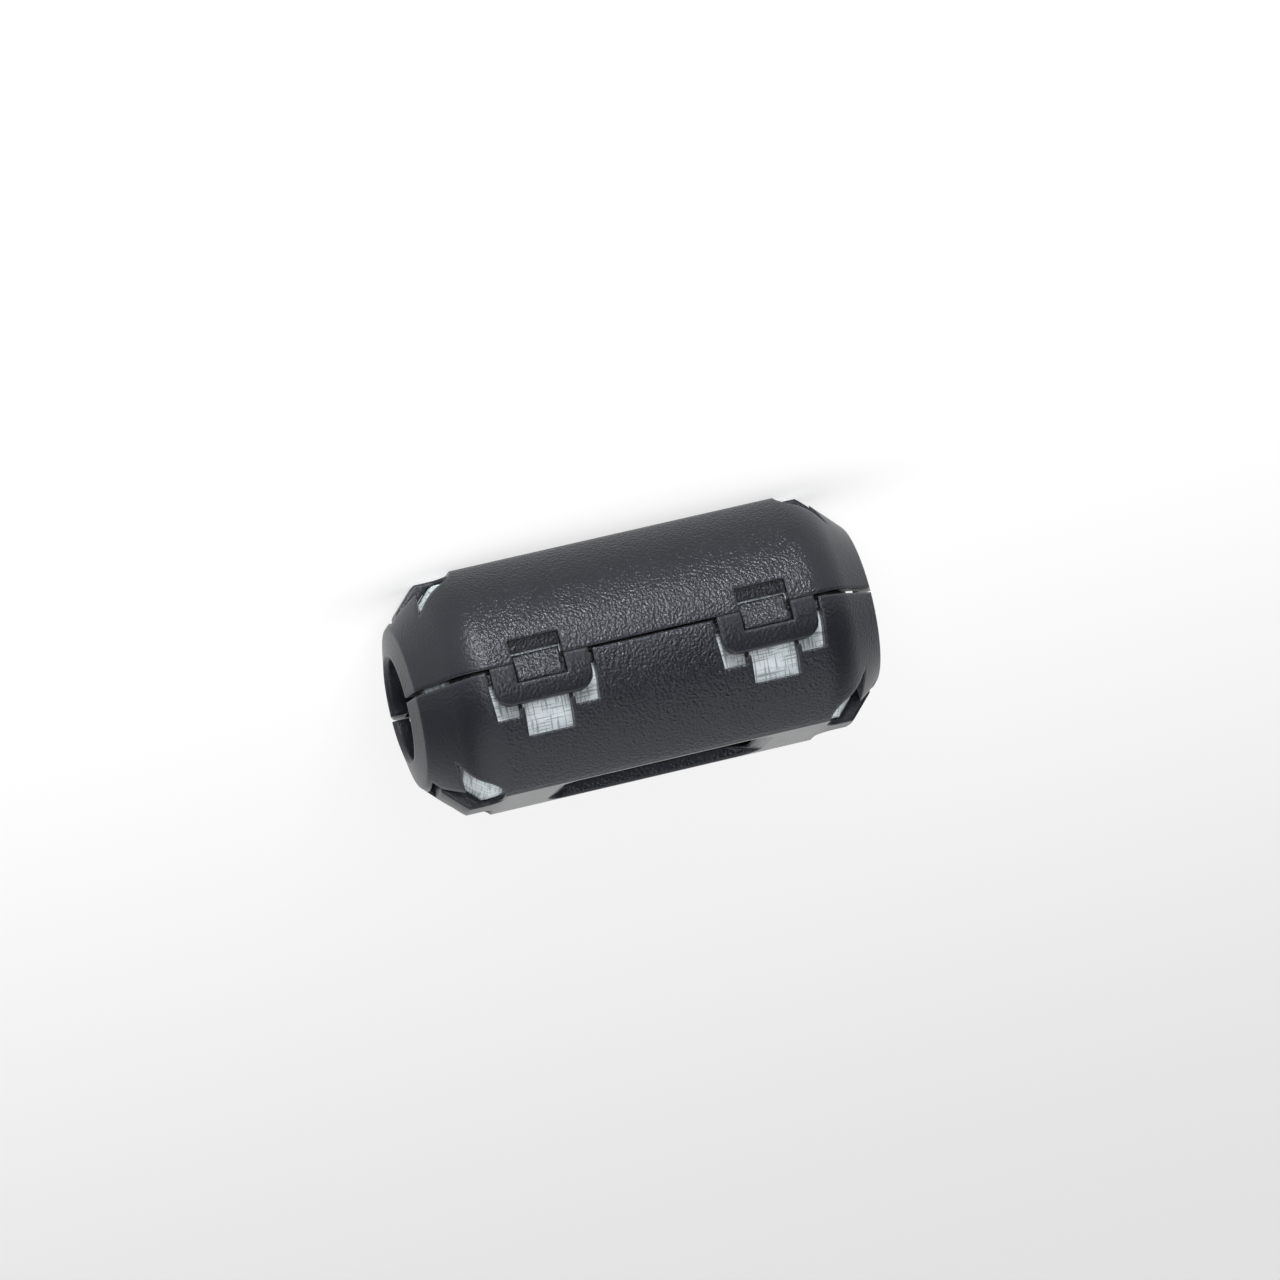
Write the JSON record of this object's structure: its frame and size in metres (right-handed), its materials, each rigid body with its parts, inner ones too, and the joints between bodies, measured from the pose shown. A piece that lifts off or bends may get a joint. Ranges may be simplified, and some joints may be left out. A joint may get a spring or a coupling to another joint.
{
  "type": "clip-on ferrite bead",
  "caption": "Barrel-shaped split case that hinges open and snaps shut round a cable, holding two ferrite half sleeves round a through bore.",
  "frame": {"origin": "on the bore axis at mid-length of the case", "axes": "+X along the bore, +Y from the latches to the hinge, +Z from the looped half to the half with the bosses"},
  "size_m": [0.0392, 0.0214, 0.0188],
  "materials": {
    "case_plastic": "black moulded nylon with a fine spark-eroded grain, smoother on the cones",
    "ferrite": "bare sintered ferrite, dark grey with fine grinding marks"
  },
  "bodies": {
    "lower_half": {"lower_shell": "case_plastic", "ferrite_lower": "ferrite", "hinge_strap_left": "case_plastic", "hinge_strap_right": "case_plastic"},
    "upper_half": {"upper_shell": "case_plastic", "ferrite_upper": "ferrite"},
    "latch_left": {"latch_loop_left": "case_plastic"},
    "latch_right": {"latch_loop_right": "case_plastic"}
  },
  "joints": [
    {"name": "lid_hinge", "type": "hinge", "parent": "lower_half", "child": "upper_half", "pos_m": [0, 0.01102, 0], "axis": [-1, 0, 0], "range_deg": [0, 170], "deforming": ["hinge_strap_left", "hinge_strap_right"]},
    {"name": "latch_left_flex", "type": "hinge", "parent": "lower_half", "child": "latch_left", "pos_m": [0.00945, -0.01045, -0.0001], "axis": [1, 0, 0], "range_deg": [0, 12], "stiffness_Nm_per_rad": 0.002},
    {"name": "latch_right_flex", "type": "hinge", "parent": "lower_half", "child": "latch_right", "pos_m": [-0.00945, -0.01045, -0.0001], "axis": [1, 0, 0], "range_deg": [0, 12], "stiffness_Nm_per_rad": 0.002}
  ]
}
